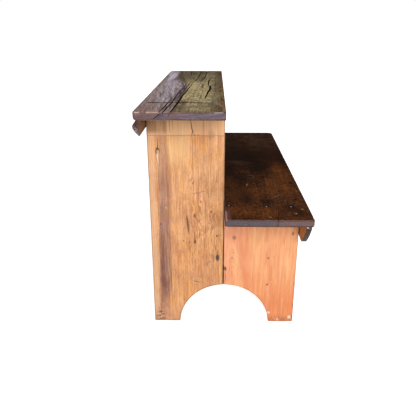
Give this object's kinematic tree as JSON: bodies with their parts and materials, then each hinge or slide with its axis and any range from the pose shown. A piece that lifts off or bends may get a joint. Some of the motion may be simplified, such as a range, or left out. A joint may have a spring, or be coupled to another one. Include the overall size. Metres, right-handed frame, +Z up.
{
  "type": "bucket bench",
  "caption": "Two-tier nailed pine bench with a tall rear shelf, a low front shelf, arched board ends and swept apron rails, for standing buckets and crocks on.",
  "frame": {"origin": "on the floor under the middle of the bench, bottom centre of its bounding box", "axes": "+X along the bench to the right-hand end as seen from the front, -Y to the front where the low shelf is, +Z up"},
  "size_m": [1.16, 0.5096, 0.75],
  "materials": {
    "upper_shelf_stain": "worn dark stain over pine, waxed, with open drying cracks",
    "lower_shelf_stain": "very dark mottled stain over pine, waxed",
    "honey_pine": "aged honey pine, upright grain, brown streaks, thin old varnish",
    "pink_pine": "aged orange-pink pine, upright grain, thin old varnish",
    "rail_stain": "dark brown stain, worn arrises",
    "bare_pine": "unfinished pine, browned with age",
    "nail_iron": "darkened iron"
  },
  "bodies": {
    "root": {"upper_shelf": "upper_shelf_stain", "lower_shelf": "lower_shelf_stain", "left_tall_end_board": "honey_pine", "right_tall_end_board": "honey_pine", "left_short_end_board": "pink_pine", "right_short_end_board": "pink_pine", "rear_rail": "rail_stain", "front_rail": "rail_stain", "left_end_batten": "bare_pine", "right_end_batten": "bare_pine", "upper_shelf_nails": "nail_iron", "lower_shelf_nails": "nail_iron", "rear_rail_nails": "nail_iron", "front_rail_nails": "nail_iron", "batten_nails": "nail_iron"}
  },
  "joints": []
}
